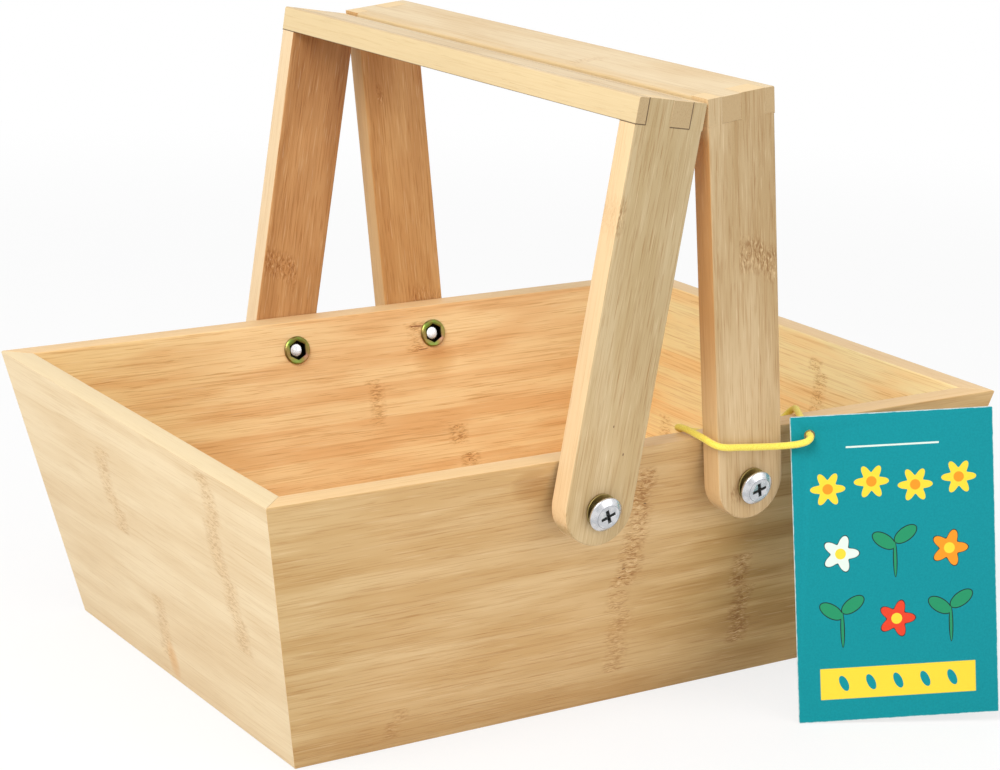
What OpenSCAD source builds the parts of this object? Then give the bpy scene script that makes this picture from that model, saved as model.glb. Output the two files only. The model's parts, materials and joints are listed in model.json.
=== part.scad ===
// Bamboo garden trug: a tapered box of mitred boards with two folding handles.
// The origin is the middle of the footprint on the table. X runs along the tray,
// Y from front to back and Z up. All sizes are millimetres and degrees.

/* [Tray] */
// Length over the rim, along X
tray_len = 315; // [260:1:420]
// Width over the rim, along Y
tray_wid = 226; // [180:1:320]
// Height of the tray
tray_h = 105; // [90:1:140]
// Thickness of the wall boards
board_t = 9.8; // [9:0.1:13]
// Outward slope of all four walls, measured from upright
splay = 12.7; // [6:0.1:16]
// Thickness of the base panel
panel_t = 5; // [3:0.1:8]
// Height of the base panel's underside above the table
panel_lift = 6; // [4:0.5:15]
// Depth of the grooves that hold the base panel
groove_d = 4.5; // [3:0.1:6]
// Room left for the base panel to swell in its grooves
panel_play = 0.3; // [0.1:0.05:0.6]

/* [Handles] */
// Width of a handle board
leg_w = 28.3; // [24:0.1:36]
// Thickness of the leg boards
leg_t = 9.6; // [7:0.1:12]
// Thickness of the crossbar board
bar_t = 9.3; // [7:0.1:12]
// Length from the pivot to the top of the crossbar
leg_reach = 142.5; // [125:0.5:170]
// Distance of each pivot from the middle of the tray, along X
pivot_x = 32.8; // [28:0.1:45]
// Drop of the pivots below the rim
pivot_drop = 15.5; // [14:0.5:28]
// Lean of the left handle towards the middle, where it rests
left_lean = 8.7; // [7:0.1:11]
// Gap between the two crossbars where they rest on each other
rest_gap = 0.45; // [0.3:0.05:1]
// Angle by which the legs spread apart from the pivots up
leg_spread = 1.3; // [0:0.1:2.5]
// Running gap between a leg and the rim, at the pivot
leg_gap = 0.15; // [0.1:0.05:1]
// Rounding of the long edges of a leg
leg_edge_r = 0.8; // [0.4:0.1:3]
// Rounding of the crossbar's top edges
bar_edge_r = 0.8; // [0.3:0.1:2]
// Width of the narrow crossbar finger at one edge
finger_edge_w = 4.2; // [3:0.1:7]
// Width of the wide leg finger next to it
finger_leg_w = 10.2; // [8:0.1:12]
// Width of the crossbar finger inside
finger_bar_w = 8.3; // [6:0.1:9]

/* [Pivot hardware] */
// Diameter of the pivot screws
screw_d = 6; // [5:0.5:7]
// Diameter of the screw head
head_d = 13; // [11:0.1:15]
// Height of the screw head
head_h = 2.6; // [2.4:0.1:4.5]
// Diameter of the flat middle of the head
head_flat_d = 8.8; // [7.5:0.1:9.5]
// Width across the cross recess
recess_w = 6.2; // [3.5:0.1:7]
// Width of one slot of the cross recess
recess_slot = 1.2; // [0.8:0.1:1.5]
// Depth of the cross recess
recess_d = 1.8; // [1:0.1:2.2]
// Outer diameter of the washers
washer_d = 12.4; // [12:0.1:16]
// Thickness of the washers
washer_t = 0.8; // [0.5:0.1:1.6]
// Diameter of the inserts in the walls
insert_d = 10; // [9:0.1:12]
// Diameter of the insert flanges
flange_d = 11.6; // [11:0.1:15]
// Thickness of the insert flanges
flange_t = 1.2; // [0.8:0.1:2]
// Width across the flats of the hex socket in the inserts
hex_flats = 7.2; // [7.1:0.1:8]
// Depth of the hex socket
hex_d = 3.6; // [2:0.1:5]
// How far the screw ends stop below the insert flanges
screw_short = 1.6; // [0.5:0.1:3]
// Running gap round the screws in the legs
hole_play = 0.4; // [0.3:0.05:1]
// Gap between a washer and the leg behind it
washer_gap = 0.4; // [0.3:0.05:1]
// Room round a screw in its washer
washer_play = 0.2; // [0.1:0.05:0.5]
// Room round an insert in the wall and round a screw in its insert
thread_play = 0.05; // [0.02:0.01:0.1]
// Height of the upright rim of the screw head
head_rim = 1; // [0.6:0.1:2]
// Turn of the cross recess where the screws stopped
recess_turn = 20; // [0:5:85]
// Depth of wood left over the blind end of an insert
insert_short = 0.8; // [0.3:0.1:2]
// Chamfer on the screw ends and the insert flanges
chamfer = 0.5; // [0.2:0.1:0.9]

/* [Swing tag] */
// Width of the card
tag_w = 74; // [50:1:100]
// Height of the card
tag_h = 113; // [80:1:140]
// Thickness of the card
tag_t = 0.6; // [0.4:0.1:1.5]
// Diameter of the punched hole
tag_hole_d = 4; // [3.4:0.1:6]
// Distance of the hole from the card's left and top edges
tag_hole_in = 7; // [5:0.1:12]
// Turn of the card about the upright, away from the front wall
tag_turn = 28.4; // [20:0.1:35]
// Backward lean of the card
tag_lean = 8; // [4:0.1:9]
// Roll of the card in its own plane, onto its left corner
tag_roll = 3.5; // [1:0.1:6]
// Thickness of the elastic cord
cord_d = 2.5; // [1.5:0.1:2.8]
// Thickness of the knot
knot_d = 4.6; // [3:0.1:5]

/* [Hidden] */
$fn = 96;
far = 400;
overcut = 1;

// Slope of the walls: how far they lean out for each millimetre of height
wall_rise = tan(splay);
// Thickness of a wall measured level, front to back
wall_flat = board_t / cos(splay);
half_len = tray_len / 2;
half_wid = tray_wid / 2;
pivot_z = tray_h - pivot_drop;

// Inner half width of the tray at a height
function inner_half(half, z) = half - wall_flat - (tray_h - z) * wall_rise;

// Inner face of a leg at the pivot, measured from the middle of the tray
leg_in_y = half_wid + leg_gap;
leg_level_t = leg_t / cos(leg_spread);
leg_out_y = leg_in_y + leg_level_t;
leg_mid_y = leg_in_y + leg_level_t / 2;
bar_low = leg_reach - bar_t;

// Crossbar fingers as [low x, high x] across a leg, from the narrow one inwards
finger_1 = -leg_w / 2 + finger_edge_w;
finger_2 = finger_1 + finger_leg_w;
finger_3 = finger_2 + finger_bar_w;
bar_fingers = [[-leg_w / 2 - overcut, finger_1], [finger_2, finger_3]];
leg_fingers = [[finger_1, finger_2], [finger_3, leg_w / 2 + overcut]];

// The right handle leans on the left crossbar's upper corner, rest_gap away
lean_corner_x = -pivot_x + cos(left_lean) * leg_w / 2 + sin(left_lean) * leg_reach;
lean_corner_z = cos(left_lean) * leg_reach - sin(left_lean) * leg_w / 2;
lean_reach = norm([pivot_x - lean_corner_x, lean_corner_z]);
right_lean = atan2(pivot_x - lean_corner_x, lean_corner_z)
    - asin((leg_w / 2 + rest_gap) / lean_reach);

// The screws stand square to the wall, so they tip by the splay and cross the
// middle of the leg on the pivot axis. Distances along a screw start there.
screw_to_wall = ((leg_mid_y - half_wid) + (tray_h - pivot_z) * wall_rise) * cos(splay);
washer_y = leg_out_y + washer_gap;
washer_mid = (washer_y + washer_t / 2 - leg_mid_y) / cos(splay);
head_seat = (washer_y + washer_t - leg_mid_y) / cos(splay)
    + (head_d / 2) * tan(splay) + thread_play;
screw_tip = screw_to_wall + board_t + flange_t - screw_short;
insert_len = board_t - insert_short;
leg_hole_r = screw_d / 2 / cos(splay) + (leg_level_t / 2) * wall_rise + hole_play;
washer_hole_r = screw_d / 2 / cos(splay) + (washer_t / 2) * wall_rise + washer_play;

// Foot of the card's lower left corner on the table
tag_foot = [46, -141.5, 0];

// Route of the elastic cord: out of the knot inside the tray, over the rim,
// across the front of the right leg, through the card and back over the rim
cord_route = [
    [40, -99.5, 101.5], [34, -99.5, 101.5], [28, -98.8, 102], [22.5, -97.8, 103],
    [18, -98.4, 104.6], [15.2, -101.2, 106.2], [14.4, -105, 107], [14.2, -110, 107.1],
    [14.1, -115, 106.8], [14.2, -119, 106.4], [14.5, -122, 105.8], [15.8, -124.4, 105.1],
    [18.5, -125.3, 104.5], [24, -125.3, 103.8], [31, -125.2, 102.9], [37.5, -125.3, 102.2],
    [42.2, -126.2, 102], [45.3, -128.1, 102.4], [48.3, -130.4, 103.2], [50.9, -131.4, 104.2],
    [52.8, -130.4, 105.1], [53.9, -127.8, 105.4], [55.8, -124, 105.9], [59, -118.2, 106.5],
    [62, -112.8, 107], [65, -107.4, 107.1], [67.6, -103, 106.8], [68.4, -100.6, 105.9],
    [67.7, -99.2, 104.5], [66, -98.9, 102.9], [63.6, -99, 101.6], [60.5, -99.2, 101.1],
    [57, -99.4, 101.3], [53.5, -99.5, 101.5], [50, -99.5, 101.5], [46, -99.5, 101.5]
];
cord_sides = 8;

// A board along X with its outer face sloping out from the bottom, in front
module sloped_board(half) {
    rotate([90, 0, 90])
        linear_extrude(2 * far, center = true)
            polygon([
                [-half + tray_h * wall_rise, 0],
                [-half, tray_h],
                [-half + wall_flat, tray_h],
                [-half + tray_h * wall_rise + wall_flat, 0]
            ]);
}

// The groove space all round the tray, a little wider than the base panel
module panel_space(play) {
    reach_x = inner_half(half_len, panel_lift) + groove_d - play;
    reach_y = inner_half(half_wid, panel_lift) + groove_d - play;
    translate([-reach_x, -reach_y, panel_lift])
        cube([2 * reach_x, 2 * reach_y, panel_t]);
}

// Plan outline of the front board, cut to a mitre at both ends
module mitred_plan(len_half, wid_half) {
    depth = wid_half / 2;
    translate([0, 0, -overcut])
        linear_extrude(tray_h + 2 * overcut)
            polygon([
                [-len_half, -wid_half],
                [len_half, -wid_half],
                [len_half - depth, -wid_half + depth],
                [-len_half + depth, -wid_half + depth]
            ]);
}

// Holes for the inserts in the front wall, drilled square to its face
module insert_holes() {
    for (side = [-1, 1])
        screw_frame(side * pivot_x)
            translate([0, 0, -far / 4])
                cylinder(d = insert_d, h = far / 2);
}

// Puts a child that lies along +Z onto a front screw, +Z pointing out of the head
module screw_frame(x) {
    translate([x, -leg_mid_y, pivot_z])
        rotate([90 + splay, 0, 0])
            children();
}

module front_board() {
    difference() {
        intersection() {
            sloped_board(half_wid);
            mitred_plan(half_len, half_wid);
        }
        panel_space(0);
        insert_holes();
    }
}

module end_board() {
    difference() {
        intersection() {
            rotate([0, 0, -90])
                sloped_board(half_len);
            rotate([0, 0, -90])
                mitred_plan(half_wid, half_len);
        }
        panel_space(0);
    }
}

module front_wall() {
    color("burlywood") front_board();
}

module back_wall() {
    color("burlywood") rotate([0, 0, 180]) front_board();
}

module left_end_wall() {
    color("wheat") end_board();
}

module right_end_wall() {
    color("wheat") rotate([0, 0, 180]) end_board();
}

module base_panel() {
    color("tan") panel_space(panel_play);
}

// A handle stands at its pivot: X across the leg, Z from the pivot to the crossbar
module handle_outline() {
    rotate([90, 0, 0])
        linear_extrude(2 * far, center = true)
            union() {
                circle(d = leg_w);
                translate([-leg_w / 2, 0])
                    square([leg_w, leg_reach - bar_edge_r]);
                for (side = [-1, 1])
                    translate([side * (leg_w / 2 - bar_edge_r), leg_reach - bar_edge_r])
                        circle(r = bar_edge_r);
                translate([-leg_w / 2 + bar_edge_r, leg_reach - 2 * bar_edge_r])
                    square([leg_w - 2 * bar_edge_r, 2 * bar_edge_r]);
            }
}

// Cross-section of a leg with its long edges rounded, in plan
module leg_section() {
    r = leg_edge_r;
    translate([-leg_w / 2 + r, -leg_t])
        square([leg_w - 2 * r, leg_t]);
    translate([-leg_w / 2, -leg_t + r])
        square([leg_w, leg_t - 2 * r]);
    for (side = [-1, 1], y = [-r, -leg_t + r])
        translate([side * (leg_w / 2 - r), y])
            circle(r = r);
}

// The space that a front leg board fills, leaning out from its pivot
module leg_slab() {
    translate([0, -leg_in_y, 0])
        rotate([leg_spread, 0, 0])
            translate([-leg_w, -leg_t, -leg_w])
                cube([2 * leg_w, leg_t, leg_reach + 2 * leg_w]);
}

// The same board with rounded long edges, up to the crossbar's underside
module leg_round_part() {
    intersection() {
        translate([0, -leg_in_y, 0])
            rotate([leg_spread, 0, 0])
                translate([0, 0, -leg_w])
                    linear_extrude(leg_reach + 2 * leg_w)
                        leg_section();
        translate([-far / 2, -far, -far + bar_low])
            cube([far, far, far]);
    }
}

// Slices across a handle, one for each finger in the list, above the joint line
module finger_slices(fingers) {
    for (f = fingers)
        translate([f[0], -far, bar_low])
            cube([f[1] - f[0], 2 * far, bar_t + far]);
}

module front_leg() {
    difference() {
        intersection() {
            handle_outline();
            union() {
                leg_round_part();
                intersection() {
                    leg_slab();
                    translate([-far / 2, -far, bar_low])
                        cube([far, far, far]);
                }
            }
        }
        finger_slices(bar_fingers);
        rotate([90, 0, 0])
            cylinder(r = leg_hole_r, h = 2 * far);
    }
}

module back_leg() {
    mirror([0, 1, 0]) front_leg();
}

module crossbar() {
    difference() {
        intersection() {
            handle_outline();
            translate([-far / 2, -far, bar_low])
                cube([far, 2 * far, bar_t]);
            // The ends are flush with the outer faces of the legs
            crossbar_reach();
            mirror([0, 1, 0]) crossbar_reach();
        }
        for (end = [0, 1])
            mirror([0, end, 0])
                intersection() {
                    leg_slab();
                    finger_slices(leg_fingers);
                }
    }
}

// Everything behind the outer face of the front leg
module crossbar_reach() {
    translate([0, -leg_in_y, 0])
        rotate([leg_spread, 0, 0])
            translate([-leg_w, -leg_t, -leg_w])
                cube([2 * leg_w, far, leg_reach + 2 * leg_w]);
}

// The left handle as it rests, and the same handle turned round on the right
module at_left_handle() {
    translate([-pivot_x, 0, pivot_z])
        rotate([0, left_lean, 0])
            children();
}

module at_right_handle() {
    translate([pivot_x, 0, pivot_z])
        rotate([0, -right_lean, 0])
            rotate([0, 0, 180])
                children();
}

module left_handle_front_leg() {
    color("burlywood") at_left_handle() front_leg();
}

module left_handle_back_leg() {
    color("burlywood") at_left_handle() back_leg();
}

module left_handle_crossbar() {
    color("navajowhite") at_left_handle() crossbar();
}

module right_handle_front_leg() {
    color("burlywood") at_right_handle() back_leg();
}

module right_handle_back_leg() {
    color("burlywood") at_right_handle() front_leg();
}

module right_handle_crossbar() {
    color("navajowhite") at_right_handle() crossbar();
}

// Pan head: a low rim, a cone and a flat middle with a cross recess
module screw() {
    difference() {
        rotate_extrude()
            polygon([
                [0, -screw_tip],
                [screw_d / 2 - chamfer, -screw_tip],
                [screw_d / 2, -screw_tip + chamfer],
                [screw_d / 2, head_seat],
                [head_d / 2, head_seat],
                [head_d / 2, head_seat + head_rim],
                [head_flat_d / 2, head_seat + head_h],
                [0, head_seat + head_h]
            ]);
        for (turn = [0, 90])
            rotate([0, 0, turn + recess_turn])
                translate([-recess_w / 2, -recess_slot / 2, head_seat + head_h - recess_d])
                    cube([recess_w, recess_slot, recess_d + overcut]);
    }
}

// Flat ring that hangs on the screw, against the leg
module washer() {
    drop = (washer_y + washer_t / 2 - leg_mid_y) * wall_rise;
    translate([0, -washer_y, pivot_z - drop])
        rotate([90, 0, 0])
            difference() {
                cylinder(d = washer_d, h = washer_t);
                translate([0, 0, -overcut])
                    cylinder(r = washer_hole_r, h = washer_t + 2 * overcut);
            }
}

// Flanged threaded insert with a hex socket, seen from inside the tray
module insert_nut() {
    wall_in = -screw_to_wall - board_t;
    difference() {
        rotate_extrude()
            polygon([
                [0, wall_in - flange_t],
                [flange_d / 2 - chamfer, wall_in - flange_t],
                [flange_d / 2, wall_in - flange_t + chamfer],
                [flange_d / 2, wall_in],
                [insert_d / 2 - thread_play, wall_in],
                [insert_d / 2 - thread_play, wall_in + insert_len],
                [0, wall_in + insert_len]
            ]);
        translate([0, 0, wall_in - flange_t - overcut])
            cylinder(r = screw_d / 2 + thread_play, h = insert_len + flange_t + 2 * overcut);
        translate([0, 0, wall_in - flange_t - overcut])
            cylinder(d = hex_flats / cos(30), h = hex_d + overcut, $fn = 6);
    }
}

module at_back() {
    mirror([0, 1, 0]) children();
}

module pivot_screw_front_left() {
    color("silver") screw_frame(-pivot_x) screw();
}

module pivot_screw_front_right() {
    color("silver") screw_frame(pivot_x) screw();
}

module pivot_screw_back_left() {
    color("silver") at_back() screw_frame(-pivot_x) screw();
}

module pivot_screw_back_right() {
    color("silver") at_back() screw_frame(pivot_x) screw();
}

module washer_front_left() {
    color("goldenrod") translate([-pivot_x, 0, 0]) washer();
}

module washer_front_right() {
    color("goldenrod") translate([pivot_x, 0, 0]) washer();
}

module washer_back_left() {
    color("goldenrod") at_back() translate([-pivot_x, 0, 0]) washer();
}

module washer_back_right() {
    color("goldenrod") at_back() translate([pivot_x, 0, 0]) washer();
}

module insert_nut_front_left() {
    color("darkkhaki") screw_frame(-pivot_x) insert_nut();
}

module insert_nut_front_right() {
    color("darkkhaki") screw_frame(pivot_x) insert_nut();
}

module insert_nut_back_left() {
    color("darkkhaki") at_back() screw_frame(-pivot_x) insert_nut();
}

module insert_nut_back_right() {
    color("darkkhaki") at_back() screw_frame(pivot_x) insert_nut();
}

// The card stands on its lower left corner and leans back towards the rim
module hang_tag() {
    color("darkcyan")
        translate(tag_foot)
            rotate([0, 0, -tag_turn])
                rotate([-tag_lean, 0, 0])
                    rotate([0, -tag_roll, 0])
                        difference() {
                            translate([0, -tag_t, 0])
                                cube([tag_w, tag_t, tag_h]);
                            translate([tag_hole_in, overcut, tag_h - tag_hole_in])
                                rotate([90, 0, 0])
                                    cylinder(d = tag_hole_d, h = tag_t + 2 * overcut);
                        }
}

// Sweeps a round cord of flat sides along a list of points
function unit(v) = v / norm(v);
function heading(p, i) = unit(p[min(i + 1, len(p) - 1)] - p[max(i - 1, 0)]);
function ring(p, i, r, n) = let (
        ahead = heading(p, i),
        side = unit(cross([0, 0, 1], ahead)),
        up = cross(ahead, side)
    ) [for (k = [0:n - 1]) p[i] + r * (cos(k * 360 / n) * side + sin(k * 360 / n) * up)];

module tube(p, r, n) {
    last = len(p) - 1;
    rings = [for (i = [0:last]) each ring(p, i, r, n)];
    first_cap = [[for (k = [0:n - 1]) k]];
    last_cap = [[for (k = [n - 1:-1:0]) last * n + k]];
    sides = [for (i = [0:last - 1], k = [0:n - 1]) let (
            a = i * n + k,
            b = i * n + (k + 1) % n
        ) each [[a, a + n, b], [b, a + n, b + n]]];
    polyhedron(points = rings, faces = concat(first_cap, sides, last_cap), convexity = 6);
}

module tag_cord() {
    color("gold") tube(cord_route, cord_d / 2, cord_sides);
}

// The knot fills the gap between the cord's two ends
module tag_knot() {
    start = cord_route[0];
    stop = cord_route[len(cord_route) - 1];
    knot_len = stop[0] - start[0];
    color("gold")
        translate(start)
            rotate([0, 90, 0])
                rotate_extrude()
                    polygon([
                        [0, 0],
                        [cord_d / 2, 0],
                        [knot_d / 2, knot_len * 0.3],
                        [knot_d / 2, knot_len * 0.7],
                        [cord_d / 2, knot_len],
                        [0, knot_len]
                    ]);
}

front_wall();
back_wall();
left_end_wall();
right_end_wall();
base_panel();
left_handle_front_leg();
left_handle_back_leg();
left_handle_crossbar();
right_handle_front_leg();
right_handle_back_leg();
right_handle_crossbar();
pivot_screw_front_left();
pivot_screw_front_right();
pivot_screw_back_left();
pivot_screw_back_right();
washer_front_left();
washer_front_right();
washer_back_left();
washer_back_right();
insert_nut_front_left();
insert_nut_front_right();
insert_nut_back_left();
insert_nut_back_right();
hang_tag();
tag_cord();
tag_knot();
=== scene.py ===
import bpy
import bmesh
import json
import math
from mathutils import Euler, Matrix, Vector


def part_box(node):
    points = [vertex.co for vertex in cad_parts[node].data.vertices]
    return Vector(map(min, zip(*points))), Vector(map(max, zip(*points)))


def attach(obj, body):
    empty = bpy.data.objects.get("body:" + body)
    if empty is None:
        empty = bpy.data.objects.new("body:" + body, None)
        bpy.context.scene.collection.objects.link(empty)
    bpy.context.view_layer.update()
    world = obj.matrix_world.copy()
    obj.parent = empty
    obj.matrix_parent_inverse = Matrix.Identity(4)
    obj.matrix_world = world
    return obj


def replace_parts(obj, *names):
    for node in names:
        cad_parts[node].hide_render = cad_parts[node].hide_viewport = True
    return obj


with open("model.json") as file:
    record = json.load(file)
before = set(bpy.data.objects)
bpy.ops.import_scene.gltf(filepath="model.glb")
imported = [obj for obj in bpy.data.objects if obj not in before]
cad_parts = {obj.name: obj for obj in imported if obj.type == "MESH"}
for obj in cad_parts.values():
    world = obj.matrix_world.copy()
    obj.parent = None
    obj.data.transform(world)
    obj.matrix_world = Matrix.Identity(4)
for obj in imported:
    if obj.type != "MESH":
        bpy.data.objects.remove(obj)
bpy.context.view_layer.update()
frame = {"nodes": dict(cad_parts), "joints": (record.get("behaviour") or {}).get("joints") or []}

pivotAt = {j["child"]: Vector(j["pos_m"]) for j in frame["joints"]}
mm = 0.001
across = Vector((1, 0, 0))
back = Vector((0, 1, 0))
up = Vector((0, 0, 1))


def tone(red, green, blue):
    # a colour as a paint chart gives it, 0 to 255, made linear
    parts = [c / 255 for c in (red, green, blue)]
    return tuple(c / 12.92 if c <= 0.04045 else ((c + 0.055) / 1.055) ** 2.4 for c in parts) + (1,)


# Camera

camera = {"place": (-0.5276, -0.8269, 0.3677), "target": (0.0034, 0, 0.0986), "roll": 1.53, "lens": 93.95}


def setCamera():
    data = bpy.data.cameras.new("camera")
    data.lens = camera["lens"]
    data.sensor_width = 36
    data.clip_start, data.clip_end = 0.05, 20
    obj = bpy.data.objects.new("camera", data)
    bpy.context.scene.collection.objects.link(obj)
    obj.location = camera["place"]
    aim = (Vector(camera["target"]) - obj.location).to_track_quat("-Z", "Y")
    obj.rotation_mode = "QUATERNION"
    obj.rotation_quaternion = aim @ Euler((0, 0, math.radians(camera["roll"]))).to_quaternion()
    bpy.context.scene.camera = obj


setCamera()
print("camera set")


# Shader helpers

class Wire:
    # one output of a node, which takes part in sums
    def __init__(self, look, socket):
        self.look = look
        self.socket = socket

    def sum(self, operation, other=0.0, flip=False):
        first, second = (other, self) if flip else (self, other)
        return self.look.node("ShaderNodeMath", {"operation": operation}, {0: first, 1: second})

    def __add__(self, other):
        return self.sum("ADD", other)

    def __radd__(self, other):
        return self.sum("ADD", other)

    def __sub__(self, other):
        return self.sum("SUBTRACT", other)

    def __rsub__(self, other):
        return self.sum("SUBTRACT", other, flip=True)

    def __mul__(self, other):
        return self.sum("MULTIPLY", other)

    def __rmul__(self, other):
        return self.sum("MULTIPLY", other)

    def __truediv__(self, other):
        return self.sum("DIVIDE", other)

    def __lt__(self, other):
        return self.sum("LESS_THAN", other)

    def __gt__(self, other):
        return self.sum("GREATER_THAN", other)

    def __abs__(self):
        return self.sum("ABSOLUTE")

    def floor(self):
        return self.sum("FLOOR")

    def least(self, other):
        return self.sum("MINIMUM", other)

    def most(self, other):
        return self.sum("MAXIMUM", other)


class Look:
    # a node tree and the one way its nodes are made
    def __init__(self, name=None, tree=None):
        if tree is None:
            self.material = bpy.data.materials.new(name)
            self.material.use_nodes = True
            tree = self.material.node_tree
        self.tree = tree
        self.tree.nodes.clear()

    def node(self, kind, settings=None, sockets=None, out=0):
        made = self.tree.nodes.new(kind)
        for key, value in (settings or {}).items():
            if key == "stops":
                self.setStops(made.color_ramp, value)
            else:
                setattr(made, key, value)
        for key, value in (sockets or {}).items():
            if isinstance(value, Wire):
                self.tree.links.new(value.socket, made.inputs[key])
            else:
                made.inputs[key].default_value = value
        return Wire(self, made.outputs[out]) if len(made.outputs) else made

    def setStops(self, ramp, stops):
        while len(ramp.elements) < len(stops):
            ramp.elements.new(0.5)
        for element, (place, colour) in zip(ramp.elements, stops):
            element.position = place
            element.color = colour

    def objectPlace(self, turn=(0, 0, 0), centre=(0, 0, 0)):
        # object coordinates in millimetres, turned back to a board's own axes
        shift = Euler(turn).to_matrix() @ Vector(centre) * -1000
        place = self.node("ShaderNodeTexCoord", out="Object")
        return self.node("ShaderNodeMapping", None,
                         {"Vector": place, "Location": shift, "Rotation": turn, "Scale": (1000, 1000, 1000)})

    def split(self, vector):
        parts = self.node("ShaderNodeSeparateXYZ", None, {0: vector})
        holder = parts.socket.node
        return [Wire(self, holder.outputs[i]) for i in range(3)]

    def join(self, x, y, z):
        return self.node("ShaderNodeCombineXYZ", None, {0: x, 1: y, 2: z})

    def noise(self, vector, scale=1.0, detail=2.0, rough=0.5):
        return self.node("ShaderNodeTexNoise", None,
                         {"Vector": vector, "Scale": scale, "Detail": detail, "Roughness": rough})

    def chance(self, value):
        return self.node("ShaderNodeTexWhiteNoise", {"noise_dimensions": "1D"}, {"W": value})

    def ease(self, value, low, high, start=0.0, end=1.0):
        # a smooth step from start at low to end at high
        return self.node("ShaderNodeMapRange", {"interpolation_type": "SMOOTHSTEP"},
                         {"Value": value, 1: low, 2: high, 3: start, 4: end})

    def blend(self, factor, first, second, mode="MIX"):
        return self.node("ShaderNodeMix", {"data_type": "RGBA", "blend_type": mode},
                         {0: factor, 6: first, 7: second}, out=2)

    def bump(self, height, distance, strength=1.0):
        return self.node("ShaderNodeBump", None,
                         {"Height": height, "Distance": distance, "Strength": strength})

    def finish(self, sockets):
        shader = self.node("ShaderNodeBsdfPrincipled", None, sockets)
        self.node("ShaderNodeOutputMaterial", None, {"Surface": shader})
        return self.material


# Elastic cord of the tag

cord = {
    "diameter": 2.5 * mm,
    "colour": tone(252, 232, 92),
    "shade": tone(238, 208, 58),
    "route": [
        (0.0400, -0.0995, 0.1015), (0.0340, -0.0995, 0.1015), (0.0280, -0.0988, 0.1020),
        (0.0225, -0.0978, 0.1030), (0.0180, -0.0984, 0.1046), (0.0152, -0.1012, 0.1062),
        (0.0144, -0.1050, 0.1070), (0.0142, -0.1100, 0.1071), (0.0141, -0.1150, 0.1068),
        (0.0142, -0.1190, 0.1064), (0.0145, -0.1220, 0.1058), (0.0158, -0.1244, 0.1051),
        (0.0185, -0.1253, 0.1045), (0.0240, -0.1253, 0.1038), (0.0310, -0.1252, 0.1029),
        (0.0375, -0.1253, 0.1022), (0.0422, -0.1262, 0.1020), (0.0453, -0.1281, 0.1024),
        (0.0483, -0.1304, 0.1032), (0.0509, -0.1314, 0.1042), (0.0528, -0.1304, 0.1051),
        (0.0539, -0.1278, 0.1054), (0.0558, -0.1240, 0.1059), (0.0590, -0.1182, 0.1065),
        (0.0620, -0.1128, 0.1070), (0.0650, -0.1074, 0.1071), (0.0676, -0.1030, 0.1068),
        (0.0684, -0.1006, 0.1059), (0.0677, -0.0992, 0.1045), (0.0660, -0.0989, 0.1029),
        (0.0636, -0.0990, 0.1016), (0.0605, -0.0992, 0.1011), (0.0570, -0.0994, 0.1013),
        (0.0535, -0.0995, 0.1015), (0.0500, -0.0995, 0.1015), (0.0460, -0.0995, 0.1015),
    ],
}


def cordLook():
    look = Look("yellowElastic")
    place = look.objectPlace()
    weave = look.noise(place, 3.2, 1.0)
    yarn = look.node("ShaderNodeTexVoronoi", None, {"Vector": place, "Scale": 2.4})
    colour = look.blend(look.ease(weave, 0.35, 0.75), cord["colour"], cord["shade"])
    return look.finish({"Base Color": colour, "Roughness": 0.55 + 0.15 * weave, "Sheen Weight": 0.25,
                        "Normal": look.bump(yarn + weave, 0.00025, 0.5)})


def makeCord():
    data = bpy.data.curves.new("tagCord", "CURVE")
    data.dimensions = "3D"
    data.resolution_u = 6
    data.bevel_depth = cord["diameter"] / 2
    data.bevel_resolution = 4
    data.use_fill_caps = True
    spline = data.splines.new("BEZIER")
    spline.bezier_points.add(len(cord["route"]) - 1)
    for point, place in zip(spline.bezier_points, cord["route"]):
        point.co = place
        point.handle_left_type = point.handle_right_type = "AUTO"
    obj = bpy.data.objects.new("tagCord", data)
    bpy.context.scene.collection.objects.link(obj)
    data.materials.append(cordLook())
    return obj


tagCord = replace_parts(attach(makeCord(), "root"), "tag_cord")
print("cord made")


# Modelling helpers

def clearSelection():
    if bpy.context.object and bpy.context.object.mode != "OBJECT":
        bpy.ops.object.mode_set(mode="OBJECT")
    bpy.ops.object.select_all(action="DESELECT")


def takeUp(obj):
    clearSelection()
    obj.select_set(True)
    bpy.context.view_layer.objects.active = obj


def startCube(name, low, high):
    # a box between two corners, at its place
    clearSelection()
    centre = (Vector(low) + Vector(high)) / 2
    bpy.ops.mesh.primitive_cube_add(size=1, location=centre)
    obj = bpy.context.object
    obj.name = obj.data.name = name
    obj.scale = Vector(high) - Vector(low)
    bpy.ops.object.transform_apply(location=True, rotation=True, scale=True)
    return obj


def startCylinder(name, radius, length, centre=(0, 0, 0), turn=(0, 0, 0), sides=64):
    clearSelection()
    bpy.ops.mesh.primitive_cylinder_add(vertices=sides, radius=radius, depth=length, location=centre, rotation=turn)
    obj = bpy.context.object
    obj.name = obj.data.name = name
    bpy.ops.object.transform_apply(location=True, rotation=True, scale=True)
    return obj


def pick(obj, kind, test):
    # in edit mode, selects the verts, edges or faces that pass a test
    takeUp(obj)
    bpy.ops.object.mode_set(mode="EDIT")
    bpy.ops.mesh.select_mode(type={"verts": "VERT", "edges": "EDGE", "faces": "FACE"}[kind])
    bpy.ops.mesh.select_all(action="DESELECT")
    shape = bmesh.from_edit_mesh(obj.data)
    shape.normal_update()
    for item in getattr(shape, kind):
        if test(item):
            item.select_set(True)
    shape.select_flush_mode()
    bmesh.update_edit_mesh(obj.data)


def leave():
    bpy.ops.object.mode_set(mode="OBJECT")


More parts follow.
